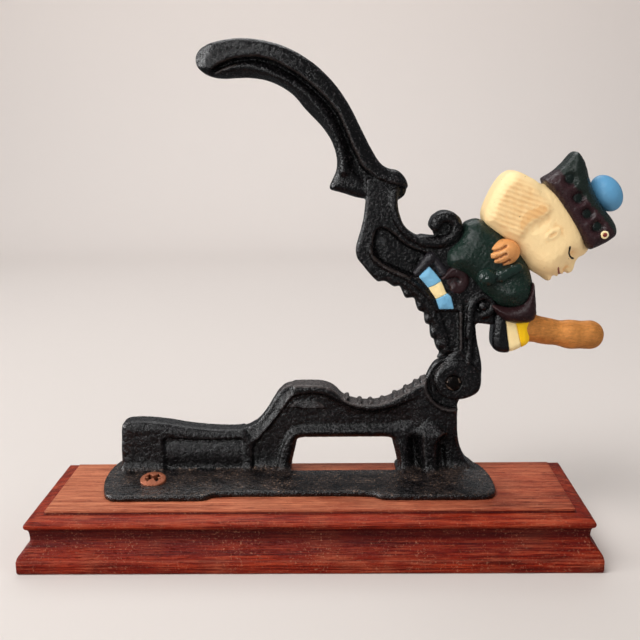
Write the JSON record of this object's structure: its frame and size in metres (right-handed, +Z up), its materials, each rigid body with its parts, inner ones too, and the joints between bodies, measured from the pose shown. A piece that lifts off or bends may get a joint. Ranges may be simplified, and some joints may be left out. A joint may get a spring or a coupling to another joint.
{
  "type": "lever nutcracker press",
  "caption": "Cast-iron lever nutcracker press on a moulded wooden plinth: a toothed base jaw and a hinged, figured lever with a curved handle.",
  "frame": {"origin": "middle of the plinth's underside", "axes": "+X to the right along the plinth, towards the hinge; +Y to the back; +Z up. The nut goes in from the front or the left."},
  "size_m": [0.2455, 0.0746, 0.2068],
  "materials": {
    "wood": "stained mahogany red, satin, worn",
    "iron": "black enamel, semi-gloss, rubbed at the edges",
    "steel": "darkened",
    "copper": "rusty, coppery brown",
    "maroon_paint": "dark maroon enamel",
    "green_paint": "dark green enamel",
    "cream_paint": "cream enamel",
    "blue_paint": "light blue enamel",
    "bronze_paint": "bronze brown enamel",
    "yellow_paint": "yellow enamel"
  },
  "bodies": {
    "base": {"wood_plinth": "wood", "base_casting": "iron", "flange_screw": "copper", "post_screw": "steel"},
    "lever": {"lever_casting": "iron", "pivot_pin": "steel"}
  },
  "joints": [
    {"name": "lever_hinge", "type": "hinge", "parent": "base", "child": "lever", "pos_m": [0.061, 0.01825, 0.0635], "axis": [0, -1, 0], "range_deg": [0, 50]}
  ]
}
